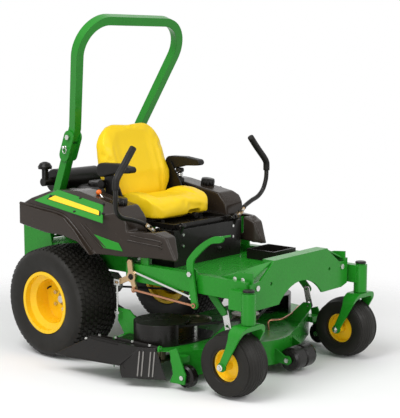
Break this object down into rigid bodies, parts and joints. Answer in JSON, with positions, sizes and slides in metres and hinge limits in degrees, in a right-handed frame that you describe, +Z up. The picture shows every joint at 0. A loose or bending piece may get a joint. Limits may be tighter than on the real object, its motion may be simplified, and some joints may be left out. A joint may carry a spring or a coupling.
{
  "type": "zero turn mower",
  "caption": "Green and yellow zero turn ride-on mower with folding roll bar, steering levers, casters, tilting seat and a lifting cutting deck with flip-up chute.",
  "frame": {"origin": "middle of the whole part's footprint on the ground", "axes": "+X forward, the way the driver faces; +Y to the driver's left; +Z up"},
  "size_m": [1.936, 1.453, 1.8733],
  "materials": {
    "deck_green": "satin",
    "frame_green": "satin",
    "pod_brown": "textured",
    "panel_green": "gloss",
    "black_plastic": "matte",
    "rim_yellow": "gloss",
    "seat_yellow": "satin",
    "tyre": "matte",
    "soft_wheel": "matte",
    "grip_rubber": "matte",
    "black_steel": "satin",
    "steel": "zinc plated",
    "plated": "yellow zinc",
    "cast": "matte",
    "alloy": "cast",
    "orange_knob": "gloss",
    "belt": "matte"
  },
  "bodies": {
    "chassis": {"frame_rails": "frame_green", "front_beam": "frame_green", "floor_pan": "frame_green", "rear_guard": "frame_green", "rops_masts": "frame_green", "engine_block": "cast", "engine_shroud": "black_plastic", "air_cleaner": "black_plastic", "muffler": "black_steel", "hydro_units": "alloy", "fender_right": "pod_brown", "fender_left": "pod_brown", "fender_panels": "panel_green", "front_panel": "black_steel", "chassis_bolts": "steel"},
    "roll_bar": {"rops_hoop": "frame_green"},
    "seat_base": {"seat_platform": "black_steel"},
    "seat": {"seat_pan": "black_plastic", "seat_cushion": "seat_yellow", "seat_back": "seat_yellow"},
    "arm_right": {"armrest_right": "grip_rubber"},
    "arm_left": {"armrest_left": "grip_rubber"},
    "throttle": {"throttle_lever": "orange_knob"},
    "pedal": {"lift_pedal": "frame_green"},
    "pedal_rod": {"lift_rod": "steel"},
    "rear_lift": {"rear_lift_shaft": "plated"},
    "lift_link": {"sync_rod": "steel"},
    "front_lift": {"front_lift_shaft": "frame_green"},
    "hangers": {"front_hangers": "steel"},
    "deck": {"deck_shell": "deck_green", "deck_hardware": "steel", "spindle_housings": "cast", "deck_belt": "belt"},
    "idler": {"deck_idler": "plated"},
    "blade_right": {"spindle_right": "plated"},
    "blade_centre": {"spindle_centre": "plated"},
    "blade_left": {"spindle_left": "plated"},
    "discharge_chute": {"chute": "black_plastic"},
    "roller": {"front_roller": "soft_wheel"},
    "clutch": {"pto_clutch": "plated"},
    "rear_wheel_right": {"rear_tyre_right": "tyre", "rear_rim_right": "rim_yellow", "rear_hub_right": "steel"},
    "caster_right": {"caster_fork_right": "frame_green"},
    "caster_wheel_right": {"caster_tyre_right": "tyre", "caster_rim_right": "rim_yellow"},
    "drive_base_right": {"lever_base_right": "plated"},
    "drive_lever_right": {"lever_right": "black_steel", "grip_right": "grip_rubber"},
    "corner_wheel_right": {"gauge_wheel_right": "soft_wheel"},
    "rear_wheel_left": {"rear_tyre_left": "tyre", "rear_rim_left": "rim_yellow", "rear_hub_left": "steel"},
    "caster_left": {"caster_fork_left": "frame_green"},
    "caster_wheel_left": {"caster_tyre_left": "tyre", "caster_rim_left": "rim_yellow"},
    "drive_base_left": {"lever_base_left": "plated"},
    "drive_lever_left": {"lever_left": "black_steel", "grip_left": "grip_rubber"},
    "corner_wheel_left": {"gauge_wheel_left": "soft_wheel"}
  },
  "joints": [
    {"name": "rear_wheel_right_spin", "type": "hinge", "parent": "chassis", "child": "rear_wheel_right", "pos_m": [-0.428, -0.4575, 0.305], "axis": [0, 1, 0], "continuous": true},
    {"name": "caster_right_swivel", "type": "hinge", "parent": "chassis", "child": "caster_right", "pos_m": [0.889, -0.4605, 0.44], "axis": [0, 0, 1], "continuous": true},
    {"name": "caster_right_spin", "type": "hinge", "parent": "caster_right", "child": "caster_wheel_right", "pos_m": [0.803, -0.4605, 0.165], "axis": [0, 1, 0], "continuous": true},
    {"name": "lever_right_drive", "type": "hinge", "parent": "chassis", "child": "drive_base_right", "pos_m": [0.136, -0.2645, 0.682], "axis": [0, 1, 0], "range_deg": [-12, 12], "stiffness_Nm_per_rad": 60},
    {"name": "lever_right_swing", "type": "hinge", "parent": "drive_base_right", "child": "drive_lever_right", "pos_m": [0.136, -0.2915, 0.708], "axis": [1, 0, 0], "range_deg": [-22, 0]},
    {"name": "armrest_right_flip", "type": "hinge", "parent": "seat", "child": "arm_right", "pos_m": [-0.308, -0.2495, 1.005], "axis": [0, -1, 0], "range_deg": [0, 90]},
    {"name": "corner_wheel_right_spin", "type": "hinge", "parent": "deck", "child": "corner_wheel_right", "pos_m": [0.569, -0.5415, 0.072], "axis": [0, 1, 0], "continuous": true},
    {"name": "rear_wheel_left_spin", "type": "hinge", "parent": "chassis", "child": "rear_wheel_left", "pos_m": [-0.428, 0.5185, 0.305], "axis": [0, 1, 0], "continuous": true},
    {"name": "caster_left_swivel", "type": "hinge", "parent": "chassis", "child": "caster_left", "pos_m": [0.889, 0.5215, 0.44], "axis": [0, 0, 1], "continuous": true},
    {"name": "caster_left_spin", "type": "hinge", "parent": "caster_left", "child": "caster_wheel_left", "pos_m": [0.803, 0.5215, 0.165], "axis": [0, 1, 0], "continuous": true},
    {"name": "lever_left_drive", "type": "hinge", "parent": "chassis", "child": "drive_base_left", "pos_m": [0.136, 0.3255, 0.682], "axis": [0, 1, 0], "range_deg": [-12, 12], "stiffness_Nm_per_rad": 60},
    {"name": "lever_left_swing", "type": "hinge", "parent": "drive_base_left", "child": "drive_lever_left", "pos_m": [0.136, 0.3525, 0.708], "axis": [-1, 0, 0], "range_deg": [-22, 0]},
    {"name": "armrest_left_flip", "type": "hinge", "parent": "seat", "child": "arm_left", "pos_m": [-0.308, 0.3105, 1.005], "axis": [0, -1, 0], "range_deg": [0, 90]},
    {"name": "corner_wheel_left_spin", "type": "hinge", "parent": "deck", "child": "corner_wheel_left", "pos_m": [0.569, 0.6025, 0.072], "axis": [0, 1, 0], "continuous": true},
    {"name": "roll_bar_fold", "type": "hinge", "parent": "chassis", "child": "roll_bar", "pos_m": [-0.564, 0.0305, 1.187], "axis": [0, 1, 0], "range_deg": [-90, 0]},
    {"name": "seat_tilt", "type": "hinge", "parent": "chassis", "child": "seat_base", "pos_m": [0.224, 0.0305, 0.75], "axis": [0, 1, 0], "range_deg": [0, 45]},
    {"name": "seat_slide", "type": "slide", "parent": "seat_base", "child": "seat", "axis": [1, 0, 0], "range_m": [-0.06, 0.06]},
    {"name": "throttle_turn", "type": "hinge", "parent": "chassis", "child": "throttle", "pos_m": [-0.138, -0.3745, 0.862], "axis": [0, 1, 0], "range_deg": [0, 60]},
    {"name": "deck_lift", "type": "slide", "parent": "chassis", "child": "deck", "axis": [0, 0, 1], "range_m": [0, 0.08], "deforming": ["deck_belt"]},
    {"name": "lift_pedal_turn", "type": "hinge", "parent": "chassis", "child": "pedal", "pos_m": [0.504, -0.4405, 0.565], "axis": [0, 1, 0], "range_deg": [-0.6, 20.6]},
    {"name": "lift_rod_turn", "type": "hinge", "parent": "pedal", "child": "pedal_rod", "pos_m": [0.53161, -0.4515, 0.40842], "axis": [0, 1, 0], "range_deg": [-20.6, 0.6]},
    {"name": "rear_lift_turn", "type": "hinge", "parent": "chassis", "child": "rear_lift", "pos_m": [0.087, 0.0305, 0.495], "axis": [0, 1, 0], "range_deg": [-0.6, 47.8]},
    {"name": "front_lift_turn", "type": "hinge", "parent": "chassis", "child": "front_lift", "pos_m": [0.507, 0.0305, 0.495], "axis": [0, 1, 0], "range_deg": [-31.1, 0.6]},
    {"name": "sync_rod_turn", "type": "hinge", "parent": "front_lift", "child": "lift_link", "pos_m": [0.4928, -0.4295, 0.4429], "axis": [0, 1, 0], "range_deg": [-0.6, 31.1]},
    {"name": "front_hanger_turn", "type": "hinge", "parent": "front_lift", "child": "hangers", "pos_m": [0.63074, 0.0305, 0.37126], "axis": [0, 1, 0], "range_deg": [-0.6, 60.45]},
    {"name": "chute_flip", "type": "hinge", "parent": "deck", "child": "discharge_chute", "pos_m": [0.2545, -0.5755, 0.194], "axis": [-1, 0, 0], "range_deg": [0, 80]},
    {"name": "blade_centre_spin", "type": "hinge", "parent": "deck", "child": "blade_centre", "pos_m": [0.482, 0.0305, 0.262], "axis": [0, 0, 1], "continuous": true},
    {"name": "blade_right_spin", "type": "hinge", "parent": "deck", "child": "blade_right", "pos_m": [0.279, -0.4155, 0.262], "axis": [0, 0, 1], "continuous": true},
    {"name": "blade_left_spin", "type": "hinge", "parent": "deck", "child": "blade_left", "pos_m": [0.279, 0.4765, 0.262], "axis": [0, 0, 1], "continuous": true},
    {"name": "idler_spin", "type": "hinge", "parent": "deck", "child": "idler", "pos_m": [0.34026, -0.21813, 0.262], "axis": [0, 0, 1], "continuous": true},
    {"name": "clutch_spin", "type": "hinge", "parent": "chassis", "child": "clutch", "pos_m": [-0.598, 0.0305, 0.262], "axis": [0, 0, 1], "continuous": true},
    {"name": "roller_spin", "type": "hinge", "parent": "deck", "child": "roller", "pos_m": [0.802, 0.0755, 0.085], "axis": [0, 1, 0], "continuous": true}
  ],
  "couplings": [
    {"joint": "lift_pedal_turn", "follows": "deck_lift", "rad_per_m": 4.3633},
    {"joint": "lift_rod_turn", "follows": "deck_lift", "rad_per_m": -4.3633},
    {"joint": "rear_lift_turn", "follows": "deck_lift", "rad_per_m": 10.297},
    {"joint": "front_lift_turn", "follows": "deck_lift", "rad_per_m": -6.6541},
    {"joint": "sync_rod_turn", "follows": "deck_lift", "rad_per_m": 6.6541},
    {"joint": "front_hanger_turn", "follows": "deck_lift", "rad_per_m": 13.057},
    {"joint": "blade_right_spin", "follows": "blade_centre_spin", "ratio": 1},
    {"joint": "blade_left_spin", "follows": "blade_centre_spin", "ratio": 1},
    {"joint": "idler_spin", "follows": "blade_centre_spin", "ratio": 0.72414},
    {"joint": "clutch_spin", "follows": "blade_centre_spin", "ratio": 1}
  ]
}
